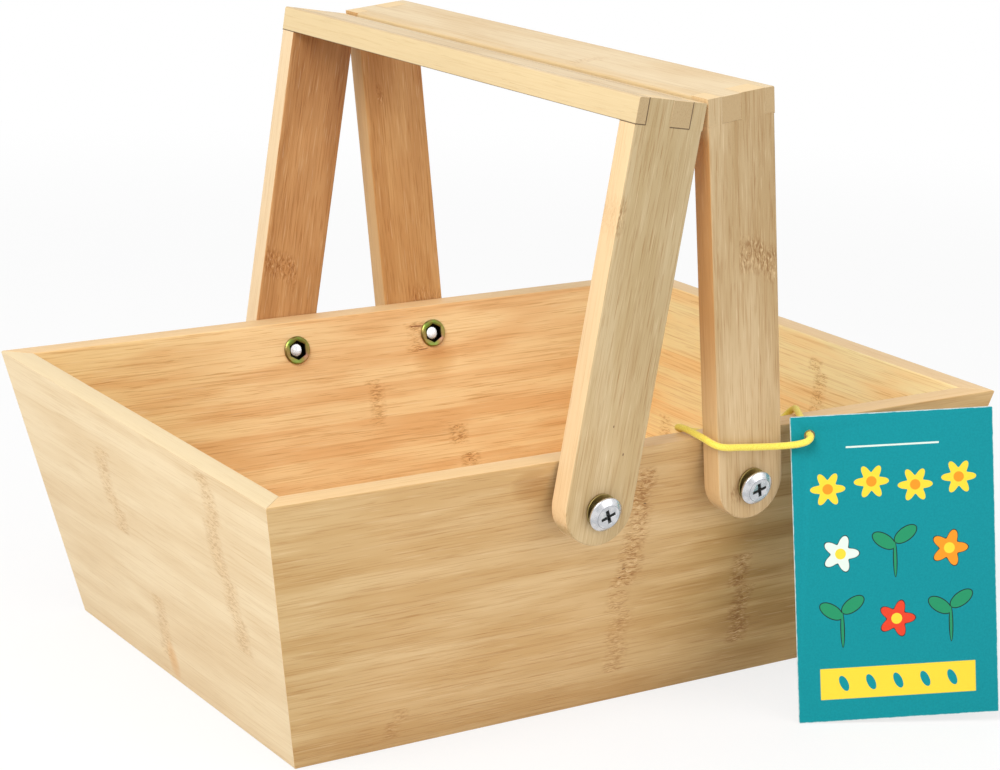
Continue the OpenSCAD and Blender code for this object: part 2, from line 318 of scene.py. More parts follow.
def placePiece(obj, location=(0, 0, 0), turn=(0, 0, 0)):
    takeUp(obj)
    obj.location = location
    obj.rotation_euler = turn
    bpy.ops.object.transform_apply(location=True, rotation=True, scale=True)


def cutOut(obj, cutter, operation="DIFFERENCE"):
    takeUp(obj)
    step = obj.modifiers.new("cut", "BOOLEAN")
    step.operation = operation
    step.solver = "EXACT"
    step.object = cutter
    bpy.ops.object.modifier_apply(modifier=step.name)
    bpy.data.objects.remove(cutter)


def sliceOff(obj, point, normal):
    # takes away what lies on the side that the normal points to
    pick(obj, "faces", lambda face: True)
    bpy.ops.mesh.bisect(plane_co=point, plane_no=normal, use_fill=True, clear_outer=True)
    leave()


def easeEdges(obj, width, segments=2, angle=30):
    takeUp(obj)
    step = obj.modifiers.new("ease", "BEVEL")
    step.width = width
    step.segments = segments
    step.limit_method = "ANGLE"
    step.angle_limit = math.radians(angle)
    step.harden_normals = False
    bpy.ops.object.modifier_apply(modifier=step.name)


def smooth(obj, angle=35):
    takeUp(obj)
    bpy.ops.object.shade_smooth_by_angle(angle=math.radians(angle))


def tidy(obj):
    takeUp(obj)
    bpy.ops.object.mode_set(mode="EDIT")
    bpy.ops.mesh.select_all(action="SELECT")
    bpy.ops.mesh.remove_doubles(threshold=0.000002)
    bpy.ops.mesh.normals_make_consistent(inside=False)
    leave()


def copyOf(obj, name):
    twin = obj.copy()
    twin.data = obj.data.copy()
    twin.name = twin.data.name = name
    bpy.context.scene.collection.objects.link(twin)
    return twin


def hand(obj, material, body, slot, *nodes):
    # gives a finished piece its look, its body and the node it stands for
    obj.data.materials.clear()
    obj.data.materials.append(material)
    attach(obj, body)
    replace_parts(obj, *nodes)


# Bamboo

bamboo = {
    "stripWidth": 7.0,
    "streakDepth": 0.34,
    "rough": 0.46,
    "lineTint": (0.70, 0.54, 0.36, 1),
    "markTint": (0.56, 0.40, 0.24, 1),
    "knuckleTint": (0.84, 0.68, 0.48, 1),
    # painted shade for the joints' fine grooves
    "jointGrooveShade": tone(72, 50, 30),
}


def bambooLook(name, board):
    # board: turn and centre to its own axes, the axes along, across and through
    # the grain, a shift for the pattern, its colours, knuckles, tinted washes (some of them painted shade), specks and
    # seams
    look = Look(name)
    parts = look.split(look.objectPlace(board.get("turn", (0, 0, 0)), board.get("centre", (0, 0, 0))))
    order = board["grain"]
    along, side, deep = (parts["xyz".index(axis)] for axis in order)
    shift = board["shift"]
    wander = look.noise(look.join(along * 0.006 + shift, side * 0.02, deep * 0.02), 1.0, 1.0)
    side = side + 3.0 * (wander - 0.5)
    strip = ((side + shift) / bamboo["stripWidth"]).floor()
    stripTone = look.chance(strip + shift)
    stripSlip = look.chance(strip * 1.7 + shift + 5)

    # knuckles: bands across a few strips, where the grain swirls and breaks into short strokes
    knuckle = None
    for spot in board["knuckles"]:
        middle = spot["along"] + spot.get("drift", 0) * (side - spot["from"])
        away = (along - middle - (stripSlip - 0.5) * spot.get("slip", 6)) / spot.get("size", 4.5)
        band = (1 - away * away).most(0)
        inside = look.ease(side, spot["from"], spot["from"] + 1.2) * look.ease(side, spot["to"] - 1.2, spot["to"], 1, 0)
        mark = band * inside * spot.get("strength", 1.0)
        knuckle = mark if knuckle is None else knuckle.most(mark)
    swirl = look.noise(look.join(along * 0.30, side * 0.5 + shift, deep * 0.5), 1.0, 1.0)
    side = side + knuckle * (swirl - 0.5) * 3.0

    cloud = look.noise(look.join(along * 0.016 + shift, side * 0.11, deep * 0.11), 1.0, 2.0)
    streak = look.noise(look.join(along * 0.013, side * 0.95 + shift, deep * 0.95), 1.0, 3.0, 0.62)
    fibre = look.noise(look.join(along * 0.026 + shift, side * 2.0, deep * 2.0), 1.0, 1.0, 0.5)
    dash = look.noise(look.join(along * 0.070, side * 1.7 + shift * 2, deep * 1.7), 1.0, 1.0)
    grit = look.noise(look.join(along * 0.32 + shift, side * 1.5, deep * 1.5), 1.0, 2.0, 0.65)

    # which way a face looks: along the grain it shows cut ends, across it the board's pale edge
    facing = look.node("ShaderNodeTexCoord", out="Normal")
    home = Euler(board.get("turn", (0, 0, 0))).to_matrix().inverted()
    towards = [look.ease(abs(look.node("ShaderNodeVectorMath", {"operation": "DOT_PRODUCT"},
                                       {0: facing, 1: home @ [across, back, up]["xyz".index(order[i])]},
                                       out="Value")), 0.75, 0.92) for i in (0, 1)]
    endGrain, edgeFace = towards
    knuckle = knuckle * (1 - 0.75 * edgeFace)

    body = look.blend(look.ease(cloud * 0.86 + stripTone * 0.14, 0.34, 0.66), board["pale"], board["tan"])
    # washes multiply darker tints over soft ellipses; on the front wall and at the tops of the far legs they are
    # painted shade, elsewhere tone
    for wash in board.get("shadeAndToneWashes", []):
        gap = [(part - place) / reach for part, place, reach in
               zip((along, side), wash["at"], wash["size"])]
        spread = (1 - gap[0] * gap[0] - gap[1] * gap[1]).most(0)
        if wash.get("patchy"):
            spread = spread * look.ease(cloud, 0.40, 0.60)
        body = look.blend(spread, body, wash["tint"], "MULTIPLY")
    edge = board.get("edge", board["pale"])
    edgeTone = look.blend(cloud, edge, tuple(c * 0.93 for c in edge[:3]) + (1,))
    # edgeLow and edgeTop swap the edge tone for a paler one towards the foot and at the top; on the right front leg the
    # darker edge tone between them is painted shade
    if "edgeLow" in board:
        edgeTone = look.blend(look.ease(along, 15, 70, 1, 0), edgeTone, board["edgeLow"])
    if "edgeTop" in board:
        edgeTone = look.blend(look.ease(along, 126, 134), edgeTone, board["edgeTop"])
    colour = look.blend(edgeFace, body, edgeTone)

    depth = board.get("streakDepth", bamboo["streakDepth"])
    depth = depth * (1 - 0.45 * edgeFace)
    lines = look.ease(streak, 0.50, 0.72) * 0.8 + look.ease(fibre, 0.55, 0.68)
    dashes = look.ease(dash, 0.62, 0.70)
    colour = look.blend((lines * depth + dashes * depth * 0.9).least(1), colour, bamboo["lineTint"], "MULTIPLY")
    gleam = look.ease(dash, 0.26, 0.38, 1, 0)
    colour = look.blend(gleam * depth * 0.35, colour, tone(255, 236, 200))
    colour = look.blend(knuckle * board.get("knuckleWash", 0.35), colour, bamboo["knuckleTint"], "MULTIPLY")
    marks = knuckle * look.ease(grit, 0.50, 0.60)
    colour = look.blend((marks * board.get("knuckleDepth", 0.75)).least(1), colour, bamboo["markTint"], "MULTIPLY")
    flecks = knuckle * look.ease(grit, 0.36, 0.44, 1, 0)
    colour = look.blend(flecks * board.get("knuckleDepth", 0.75) * 0.45, colour, tone(250, 222, 176))
    for speck in board.get("specks", []):
        gap = [(part - place) / speck["size"] for part, place in zip((along, side), speck["at"])]
        dot = (1 - gap[0] * gap[0] / speck.get("long", 2) ** 2 - gap[1] * gap[1]).most(0)
        colour = look.blend((dot * 1.6).least(1) * 0.85, colour, speck.get("tone", tone(92, 60, 34)))

    # end grain: cut fibres as fine dots
    pores = look.noise(look.join(along * 0.05, side * 2.6, deep * 2.6), 1.0, 2.0, 0.6)
    cutTone = board.get("end", board["tan"])
    cut = look.blend(look.ease(pores, 0.45, 0.7) * board.get("pores", 0.4), cutTone,
                     tuple(c * k for c, k in zip(cutTone[:3], (0.72, 0.60, 0.46))) + (1,))
    colour = look.blend(endGrain, colour, cut)

    # thin dark lines along the joints, in the board's own axes: painted shade in the joint's fine groove
    for axis, at, other, low, high in board.get("seams", []):
        line = look.ease(abs(parts["xyz".index(axis)] - at), 0.12, 0.30, 1, 0)
        span = parts["xyz".index(other)]
        colour = look.blend(line * (span > low) * (span < high) * board.get("seamDepth", 0.75), colour, bamboo["jointGrooveShade"])

    height = streak * 0.5 + fibre * 0.35 - dashes * 0.4 - marks * 0.5
    rough = bamboo["rough"] + 0.16 * streak + 0.1 * endGrain
    return look.finish({"Base Color": colour, "Roughness": rough, "Specular IOR Level": 0.35,
                        "Normal": look.bump(height, 0.00022, 0.5)})


# Tray walls and base

tray = {
    "splay": math.radians(12.7),
    "boardT": 9.8 * mm,
    "rimEase": 0.7 * mm,
    "footEase": 0.4 * mm,
    "mitreEase": 0.18 * mm,
    "panelRoom": 0.3 * mm,
    "insertHole": 5.0 * mm,
}
rimLow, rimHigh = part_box("front_wall")
endLow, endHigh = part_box("left_end_wall")
halfLength = rimHigh.x
halfWidth = -rimLow.y
trayHeight = rimHigh.z
wallFlat = tray["boardT"] / math.cos(tray["splay"])
wallDrop = trayHeight * math.tan(tray["splay"])
panelLow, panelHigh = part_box("base_panel")


def screwFrame(name, reach=0.0):
    # place and turn of a screw's own axes, +Z out of the head; the axis crosses
    # the middle of the leg on the pivot line
    end = -1 if "front" in name else 1
    side = -1 if "left" in name else 1
    legLow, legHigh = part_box("left_handle_front_leg")
    bodySide = "left_handle" if side < 0 else "right_handle"
    spot = Vector((pivotAt[bodySide].x, end * hardware["legMidY"], pivotAt[bodySide].z))
    turn = Euler((math.radians(90) + tray["splay"], 0, 0 if end < 0 else math.pi))
    return spot + turn.to_matrix() @ Vector((0, 0, reach)), turn


hardware = {
    "legMidY": 117.951 * mm,
    "screwR": 3.0 * mm,
    "headR": 6.5 * mm,
    "headH": 2.6 * mm,
    "headRim": 1.0 * mm,
    "flatR": 4.4 * mm,
    "recessWide": 6.2 * mm,
    "recessSlot": 1.2 * mm,
    "recessDeep": 1.8 * mm,
    "recessTurn": {"front_left": 23, "front_right": 18, "back_left": 64, "back_right": 5},
    "washerR": 6.2 * mm,
    "washerT": 0.8 * mm,
    "flangeR": 5.8 * mm,
    "flangeT": 1.2 * mm,
    "insertR": 4.95 * mm,
    "insertL": 9.0 * mm,
    "hexFlats": 7.2 * mm,
    "hexDeep": 3.6 * mm,
}

boards = {
    "frontWall": {
        "grain": "xzy", "shift": 3.1, "pale": tone(216, 183, 133), "tan": tone(201, 162, 107),
        "edge": tone(232, 196, 144), "end": tone(214, 178, 124),
        # painted shade: the first three washes darken the lower right, a patchy area below and right of the right foot,
        # and a band along the bottom; the fourth is painted shade in the gap beside the left leg under the rim; the
        # last darkens the left end a little
        "shadeAndToneWashes": [
            {"at": (150, 30), "size": (170, 90), "tint": (0.82, 0.76, 0.58, 1)},
            {"at": (90, 40), "size": (90, 60), "tint": (0.82, 0.80, 0.66, 1), "patchy": True},
            {"at": (0, -20), "size": (190, 50), "tint": (0.84, 0.80, 0.72, 1)},
            {"at": (-54, 97), "size": (9, 7), "tint": (0.80, 0.72, 0.62, 1)},
            {"at": (-160, 30), "size": (60, 120), "tint": (0.90, 0.90, 0.84, 1)},
        ],
        "knuckles": [
            {"along": -4, "from": 48, "to": 97, "drift": 0.0, "slip": 5, "size": 6.5, "strength": 1.0},
            {"along": -6, "from": 12, "to": 48, "drift": 0.05, "slip": 6, "size": 6, "strength": 0.6},
            {"along": 50, "from": 14, "to": 53, "drift": 0.05, "slip": 7, "size": 5.5, "strength": 0.9},
            {"along": -96, "from": 4, "to": 16, "size": 4, "strength": 0.5},
        ],
        "specks": [{"at": (-3, 82), "size": 0.35}, {"at": (-7, 56), "size": 0.4}, {"at": (-8, 52.5), "size": 0.35}],
    },
    "backWall": {
        # the pale and tan tones are paler and warmer than the front wall's: painted bounce light inside the tray
        "grain": "xzy", "shift": 8.4, "pale": tone(251, 216, 160), "tan": tone(237, 188, 128),
        "edge": tone(234, 198, 146), "end": tone(226, 184, 126), "streakDepth": 0.40,
        "shadeAndToneWashes": [
            {"at": (-150, 60), "size": (100, 110), "tint": (0.80, 0.78, 0.66, 1)},
            {"at": (33, 82), "size": (12, 7), "tint": (0.84, 0.72, 0.58, 1)},
        ],
        "specks": [{"at": (25.5, 97.5), "size": 0.4, "long": 11, "tone": tone(150, 92, 48)},
                   {"at": (27.5, 87.5), "size": 0.4, "long": 8, "tone": tone(150, 92, 48)}],
        "knuckles": [
            {"along": 2.5, "from": 58, "to": 78, "size": 4.5, "slip": 4, "strength": 0.7},
            {"along": 41, "from": 45, "to": 55, "size": 5.5, "slip": 0, "strength": 1.0},
            {"along": 46, "from": 33, "to": 42, "size": 5.5, "slip": 0, "strength": 1.0},
            {"along": 25, "from": 86, "to": 100, "size": 6, "slip": 2, "strength": 0.8},
            {"along": -104, "from": 6, "to": 60, "drift": 0.1, "slip": 8, "size": 5, "strength": 0.6},
        ],
    },
    "leftEndWall": {
        "grain": "yzx", "shift": 5.7, "pale": tone(229, 207, 168), "tan": tone(220, 194, 152),
        "edge": tone(230, 208, 166), "end": tone(222, 188, 136), "streakDepth": 0.18, "knuckleDepth": 0.5,
        "knuckles": [
            {"along": -67, "from": 36, "to": 104, "drift": 0.04, "slip": 7, "size": 7, "strength": 0.8},
            {"along": 24, "from": 54, "to": 88, "drift": 0.1, "slip": 7, "size": 7, "strength": 0.7},
            {"along": 5, "from": 8, "to": 35, "drift": 0.05, "slip": 5, "size": 6, "strength": 0.7},
        ],
        "shadeAndToneWashes": [{"at": (3, 9), "size": (5, 9), "tint": (0.95, 0.78, 0.60, 1)}],
    },
    "rightEndWall": {
        # the pale and tan tones are paler and warmer than the front wall's: painted bounce light inside the tray
        "grain": "yzx", "shift": 12.9, "pale": tone(255, 238, 182), "tan": tone(254, 218, 154),
        "edge": tone(234, 200, 150), "end": tone(222, 184, 130),
        "knuckles": [
            {"along": -30, "from": 30, "to": 98, "drift": 0.12, "slip": 6, "size": 5, "strength": 0.8},
            {"along": 62, "from": 6, "to": 52, "drift": 0.1, "slip": 6, "size": 5, "strength": 0.7},
        ],
    },
    "basePanel": {
        "grain": "xyz", "shift": 17.2, "pale": tone(240, 204, 150), "tan": tone(222, 178, 118),
        "knuckles": [
            {"along": -60, "from": -80, "to": 30, "drift": 0.06, "slip": 9, "size": 5, "strength": 0.6},
            {"along": 74, "from": -30, "to": 82, "drift": -0.05, "slip": 9, "size": 5, "strength": 0.6},
        ],
    },
}


def makeWall(name, node, outward, along, halfAlong, halfOut, holes=()):
    # a box at the rim's size, its foot and mitres then moved to their slopes
    centre = outward * (halfOut - wallFlat / 2)
    reach = along * halfAlong + outward * (wallFlat / 2)
    reach = Vector([abs(c) for c in reach])
    wall = startCube(name, centre - reach, centre + reach + up * trayHeight)
    for side in (-1, 1):
        pick(wall, "verts", lambda v: v.co.dot(outward) < halfOut - wallFlat / 2 and v.co.dot(along) * side > 0)
        bpy.ops.transform.translate(value=-side * wallFlat * along)
        pick(wall, "verts", lambda v: v.co.z < mm and v.co.dot(along) * side > 0)
        bpy.ops.transform.translate(value=-side * wallDrop * along)
    pick(wall, "verts", lambda v: v.co.z < mm)
    bpy.ops.transform.translate(value=-wallDrop * outward)

    # round the rim's and the foot's long edges, then break the mitres a little
    def longEdge(e, height):
        run = e.verts[1].co - e.verts[0].co
        level = all(abs(v.co.z - height) < mm / 10 for v in e.verts)
        return level and abs(run.dot(along)) > 0.9 * run.length
    pick(wall, "edges", lambda e: longEdge(e, trayHeight))
    bpy.ops.mesh.bevel(offset=tray["rimEase"], segments=3, affect="EDGES")
    pick(wall, "edges", lambda e: longEdge(e, 0))
    bpy.ops.mesh.bevel(offset=tray["footEase"], segments=2, affect="EDGES")
    leave()
    room = Vector((tray["panelRoom"], tray["panelRoom"], 0))
    cutOut(wall, startCube("groove", panelLow - room, panelHigh + room))
    for corner in holes:
        spot, turn = screwFrame(corner, -0.02)
        cutOut(wall, startCylinder("hole", tray["insertHole"], 0.06, spot, turn, 48))
    tidy(wall)
    easeEdges(wall, tray["mitreEase"], 1)
    smooth(wall)
    hand(wall, bambooLook(name, boards[name]), "root", "boards", node)


def makeBasePanel():
    panel = startCube("basePanel", panelLow, panelHigh)
    easeEdges(panel, 0.4 * mm)
    smooth(panel)
    hand(panel, bambooLook("basePanel", boards["basePanel"]), "root", "boards", "base_panel")


makeWall("frontWall", "front_wall", -back, across, halfLength, halfWidth, ("front_left", "front_right"))
makeWall("backWall", "back_wall", back, across, halfLength, halfWidth, ("back_left", "back_right"))
makeWall("leftEndWall", "left_end_wall", -across, back, halfWidth, halfLength)
makeWall("rightEndWall", "right_end_wall", across, back, halfWidth, halfLength)
makeBasePanel()
print("tray made")


# Handles

handle = {
    "legW": 28.3 * mm,
    "legT": 9.6 * mm,
    "barT": 9.3 * mm,
    "reach": 142.5 * mm,
    "innerY": 113.15 * mm,
    "spread": math.radians(1.3),
    "legEase": 0.8 * mm,
    "barEase": 0.8 * mm,
    "jointEase": 0.12 * mm,
    "holeR": 4.55 * mm,
    "fingers": [-9.95 * mm, 0.25 * mm, 8.55 * mm],
    "leftLean": math.radians(8.7),
    "restGap": 0.45 * mm,
}
barLow = handle["reach"] - handle["barT"]
halfLeg = handle["legW"] / 2


def rightLean():
    # the right handle rests on the left one's top corner
    lean, pivot = handle["leftLean"], pivotAt["right_handle"].x
    x = pivot - (math.sin(lean) * handle["reach"] + math.cos(lean) * halfLeg - pivot)
    z = math.cos(lean) * handle["reach"] - math.sin(lean) * halfLeg
    return math.atan2(x, z) - math.asin((halfLeg + handle["restGap"]) / math.hypot(x, z))


def fingerCuts(first):
    # slices across the board above the joint line: the crossbar's or the legs' fingers
    f1, f2, f3 = handle["fingers"]
    pairs = [(-halfLeg - mm, f1), (f2, f3)] if first == "bar" else [(f1, f2), (f3, halfLeg + mm)]
    return pairs


def makeLeg(name):
    # in the handle's own axes: pivot at the origin, the leg going up, in front
    w, t, inner = halfLeg, handle["legT"], handle["innerY"]
    leg = startCylinder(name, w, t, turn=(math.radians(90), 0, 0), sides=96)
    sliceOff(leg, (0, 0, 0), (0, 0, 1))
    pick(leg, "faces", lambda f: f.normal.z > 0.9)
    bpy.ops.mesh.extrude_region_move(TRANSFORM_OT_translate={"value": (0, 0, barLow)})

    def roundedEdge(e):
        level = all(abs(v.co.z - barLow) < mm / 10 for v in e.verts)
        skin = all(abs(abs(v.co.y) - t / 2) < mm / 10 for v in e.verts)
        return skin and not level and e.verts[0].co.y * e.verts[1].co.y > 0 and len(e.link_faces) == 2 \
            and e.calc_face_angle(0) > 1
    pick(leg, "edges", roundedEdge)
    bpy.ops.mesh.bevel(offset=handle["legEase"], segments=5, affect="EDGES")
    leave()
    top = startCube("top", (-w, -t / 2, barLow), (w, t / 2, handle["reach"] + mm))
    cutOut(leg, top, "UNION")
    cutOut(leg, startCylinder("hole", handle["holeR"], 0.03, turn=(math.radians(90), 0, 0), sides=48))
    placePiece(leg, (0, -t / 2, 0))
    placePiece(leg, (0, -inner, 0), (handle["spread"], 0, 0))
    sliceOff(leg, (0, 0, handle["reach"]), (0, 0, 1))
    for low, high in fingerCuts("bar"):
        cutOut(leg, startCube("notch", (low, -0.16, barLow), (high, -0.08, handle["reach"] + mm)))
    tidy(leg)
    easeEdges(leg, handle["jointEase"], 1, 50)
    smooth(leg)
    return leg


def makeCrossbar(name):
    w = halfLeg
    bar = startCube(name, (-w, -0.14, barLow), (w, 0.14, handle["reach"]))
    lean = handle["spread"]
    outward = Vector((0, -math.cos(lean), -math.sin(lean)))
    skin = Vector((0, -handle["innerY"], 0)) + outward * handle["legT"]
    sliceOff(bar, skin, outward)
    sliceOff(bar, skin * Vector((1, -1, 1)), outward * Vector((1, -1, 1)))
    pick(bar, "edges", lambda e: all(v.co.z > handle["reach"] - mm / 10 for v in e.verts)
         and abs(e.verts[0].co.y - e.verts[1].co.y) > 0.1)
    bpy.ops.mesh.bevel(offset=handle["barEase"], segments=3, affect="EDGES")
    leave()
    for end in (-1, 1):
        for low, high in fingerCuts("leg"):
            notch = startCube("notch", (low, -0.03, barLow - mm), (high, 0, handle["reach"] + 2 * mm))
            placePiece(notch, (0, -handle["innerY"], 0), (lean, 0, 0))
            if end > 0:
                placePiece(notch, turn=(0, 0, math.pi))
                takeUp(notch)
                notch.location.x = low + high
                bpy.ops.object.transform_apply(location=True, rotation=True, scale=True)
            cutOut(bar, notch)
    tidy(bar)
    easeEdges(bar, handle["jointEase"], 1)
    smooth(bar)
    return bar


def mirrored(obj, name):
    # the same board turned to the other end: the fingers keep their places across
    twin = copyOf(obj, name)
    takeUp(twin)
    bpy.ops.object.mode_set(mode="EDIT")
    bpy.ops.mesh.select_all(action="SELECT")
    bpy.ops.transform.mirror(constraint_axis=(False, True, False), orient_type="GLOBAL", center_override=(0, 0, 0))
    bpy.ops.mesh.normals_make_consistent(inside=False)
    leave()
    return twin


def handleBoards(side):
    lean = handle["leftLean"] if side == "left" else rightLean()
    turn = (0, -lean, 0) if side == "left" else (0, lean, math.pi)
    return {"turn": turn, "centre": pivotAt[side + "_handle"]}


f1, f2, f3 = [f / mm for f in handle["fingers"]]
joint, top, edge = barLow / mm, handle["reach"] / mm + 1, halfLeg / mm + 1
seamLines = [("z", joint, "x", -edge, f1), ("z", joint, "x", f2, f3),
             ("x", f1, "z", joint, top), ("x", f3, "z", joint, top)]

legLooks = {
    "leftFrontLeg": {"grain": "zxy", "shift": 21.3, "pale": tone(204, 179, 137), "tan": tone(191, 163, 117),
                     "edge": tone(238, 204, 156), "end": tone(228, 200, 154), "pores": 0.1, "streakDepth": 0.42,
                     "knuckles": [{"along": 101, "from": -16, "to": -10.5, "size": 8, "slip": 0}],
                     "shadeAndToneWashes": [{"at": (142, 0), "size": (120, 70), "tint": (0.84, 0.86, 0.86, 1)}],
                     "specks": [{"at": (18.9, 5.8), "size": 0.32}, {"at": (28.8, -0.2), "size": 0.28}],
                     "seams": seamLines},
    # the faces are browner than the near legs': painted shade and warm bounce light from inside the tray; the wash at
    # the top is painted shade under the crossbar
    "leftBackLeg": {"grain": "zxy", "shift": 26.8, "pale": tone(208, 157, 102), "tan": tone(184, 131, 78),
                    "edge": tone(236, 208, 166), "end": tone(228, 200, 154), "pores": 0.1, "streakDepth": 0.50,
                    "knuckles": [{"along": 38, "from": -14, "to": 3, "drift": -0.3, "size": 7, "slip": 5}],
                    "shadeAndToneWashes": [{"at": (135, 0), "size": (45, 40), "tint": (0.78, 0.72, 0.66, 1)}],
                    "seams": seamLines},
    "leftCrossbar": {"grain": "yxz", "shift": 31.5, "pale": tone(221, 198, 160), "tan": tone(210, 183, 140),
                     "streakDepth": 0.24, "edge": tone(224, 199, 152), "end": tone(182, 157, 117),
                     "knuckles": [{"along": -84, "from": -12, "to": 2, "size": 4, "slip": 4, "strength": 0.5}],
                     "seams": seamLines},
    "rightFrontLeg": {"grain": "zxy", "shift": 36.2, "pale": tone(206, 178, 136), "tan": tone(190, 158, 112),
                      # the brown edge tone is painted shade on the side face in the gap beside the left handle's leg;
                      # edgeLow and edgeTop take it back to a paler tone towards the foot and at the top
                      "edge": tone(196, 146, 90), "edgeLow": tone(216, 180, 130), "edgeTop": tone(224, 196, 150), "end": tone(228, 200, 154),
                      "pores": 0.1, "streakDepth": 0.42,
                      "knuckles": [{"along": 80, "from": -14.5, "to": 3, "drift": 0.35, "size": 8, "slip": 6},
                                   {"along": -4, "from": 4, "to": 10, "size": 4, "slip": 2, "strength": 0.6}],
                      "shadeAndToneWashes": [{"at": (142, 0), "size": (110, 70), "tint": (0.84, 0.85, 0.84, 1)}],
                      "seams": seamLines, "seamDepth": 0.06},
    # the faces are browner than the near legs': painted shade and warm bounce light from inside the tray; the wash at
    # the top is painted shade under the crossbar
    "rightBackLeg": {"grain": "zxy", "shift": 41.9, "pale": tone(214, 166, 108), "tan": tone(200, 148, 90),
                     "edge": tone(212, 172, 118), "end": tone(228, 200, 154), "pores": 0.1, "streakDepth": 0.46,
                     "knuckles": [{"along": 107, "from": 5, "to": 9, "size": 5, "slip": 2, "strength": 0.9},
                                  {"along": 14, "from": -14.5, "to": 2, "size": 7, "slip": 5, "strength": 0.7}],
                     "shadeAndToneWashes": [{"at": (135, 0), "size": (40, 40), "tint": (0.84, 0.78, 0.72, 1)}],
                     "seams": seamLines, "seamDepth": 0.06},
    "rightCrossbar": {"grain": "yxz", "shift": 47.4, "pale": tone(222, 200, 162), "tan": tone(214, 187, 144),
                      "streakDepth": 0.24, "edge": tone(224, 199, 152), "end": tone(184, 157, 116), "pores": 0.2,
                      "knuckles": [{"along": 40, "from": -4, "to": 12, "size": 4, "slip": 4, "strength": 0.5}],
                      "seams": seamLines, "seamDepth": 0.06},
}


def makeHandles():
    frontLeg = makeLeg("legPattern")
    backLeg = mirrored(frontLeg, "backLegPattern")
    crossbar = makeCrossbar("crossbarPattern")
    for side in ("left", "right"):
        body = side + "_handle"
        # the right handle is the left one turned round, so its front leg is the other's back leg
        turned = side == "right"
        lean = -rightLean() if turned else handle["leftLean"]
        patterns = {"FrontLeg": backLeg if turned else frontLeg, "BackLeg": frontLeg if turned else backLeg,
                    "Crossbar": crossbar}
        nodes = {"FrontLeg": "front_leg", "BackLeg": "back_leg", "Crossbar": "crossbar"}
        for part, pattern in patterns.items():
            piece = copyOf(pattern, side + part)
            if turned:
                placePiece(piece, turn=(0, 0, math.pi))
            placePiece(piece, pivotAt[body], (0, lean, 0))
            look = bambooLook(side + part, {**legLooks[side + part], **handleBoards(side)})
            hand(piece, look, body, "handle_boards", body + "_" + nodes[part])
    for pattern in (frontLeg, backLeg, crossbar):
        bpy.data.objects.remove(pattern)


makeHandles()
print("handles made")


# Screws, washers and inserts

def lathe(name, rings, sides=64, solid=True):
    # a ring grown by extrusion through (radius, height) steps; a solid starts from a filled
    # disc, a loop comes back to where it started
    clearSelection()
    radius, height = rings[0]
    bpy.ops.mesh.primitive_circle_add(vertices=sides, radius=radius, location=(0, 0, height),
                                      fill_type="NGON" if solid else "NOTHING")
    obj = bpy.context.object
    obj.name = obj.data.name = name
    bpy.ops.object.transform_apply(location=True, rotation=True, scale=True)
    bpy.ops.object.mode_set(mode="EDIT")
    bpy.ops.mesh.select_mode(type="FACE" if solid else "EDGE")
    bpy.ops.mesh.select_all(action="SELECT")
    for (r0, z0), (r1, z1) in zip(rings, rings[1:]):
        if solid:
            bpy.ops.mesh.extrude_region_move(TRANSFORM_OT_translate={"value": (0, 0, z1 - z0)})
        else:
            bpy.ops.mesh.extrude_edges_move(TRANSFORM_OT_translate={"value": (0, 0, z1 - z0)})
        bpy.ops.transform.resize(value=(r1 / r0, r1 / r0, 1), center_override=(0, 0, z1))
    leave()
    tidy(obj)
    return obj


def zincLook(name, colour, tint, rough, hairs, corner=None, top=0.0):
    look = Look(name)
    spot, turn = screwFrame(corner) if corner else (Vector(), Euler())
    # the mapping turns a place back to the screw's own axes, +Z out of its head
    home = turn.to_matrix().inverted().to_euler()
    place = look.objectPlace(home, spot)
    cloud = look.noise(place, 0.35, 3.0)
    hair = look.noise(place, 6.0, 2.0)
    surface = look.blend(look.ease(cloud, 0.38, 0.66), colour, tint)
    if corner:
        # painted shade in the cross recess, and a thin grey line round the edge of the flat
        x, y, z = look.split(place)
        away = look.node("ShaderNodeMath", {"operation": "SQRT"}, {0: x * x + y * y})
        recessShade = look.ease(z, top / mm - 0.30, top / mm - 0.06, 1, 0) * (away < hardware["flatR"] / mm - 0.6)
        recessShade = recessShade * (z > top / mm - 3)
        surface = look.blend(recessShade, surface, tone(98, 100, 98))
        line = look.ease(abs(away - hardware["flatR"] / mm - 0.05), 0.05, 0.16, 1, 0)
        surface = look.blend(line * 0.55, surface, tone(120, 120, 124))
        rough = rough + 0.3 * recessShade
    return look.finish({"Base Color": surface, "Metallic": 1.0, "Roughness": rough + hairs * hair,
                        "Normal": look.bump(hair, 0.00004, 0.4)})


def iridescentLook(name, corner, face):
    # yellow passivated zinc: olive, with green and rose where the film is thicker
    look = Look(name)
    spot, turn = screwFrame(corner)
    place = look.objectPlace(turn.to_matrix().inverted().to_euler(), spot)
    film = look.noise(place, 0.16, 1.0, 0.5)
    colour = look.node("ShaderNodeValToRGB", {"stops": [
        (0.34, tone(118, 142, 66)), (0.44, tone(134, 126, 68)), (0.55, tone(144, 122, 72)),
        (0.63, tone(180, 126, 112)), (0.72, tone(112, 124, 70))]}, {0: film})
    # the socket and the bore lie in the dark
    x, y, z = look.split(place)
    away = look.node("ShaderNodeMath", {"operation": "SQRT"}, {0: x * x + y * y})
    inside = look.ease(z, face / mm + 0.15, face / mm + 0.5) * (away < 4.3)
    colour = look.blend(inside, colour, tone(40, 34, 22))
    hair = look.noise(place, 5.0, 2.0)
    return look.finish({"Base Color": colour, "Metallic": 1.0, "Roughness": 0.26 + 0.16 * hair,
                        "Normal": look.bump(hair, 0.00004, 0.4)})


corners = ("front_left", "front_right", "back_left", "back_right")


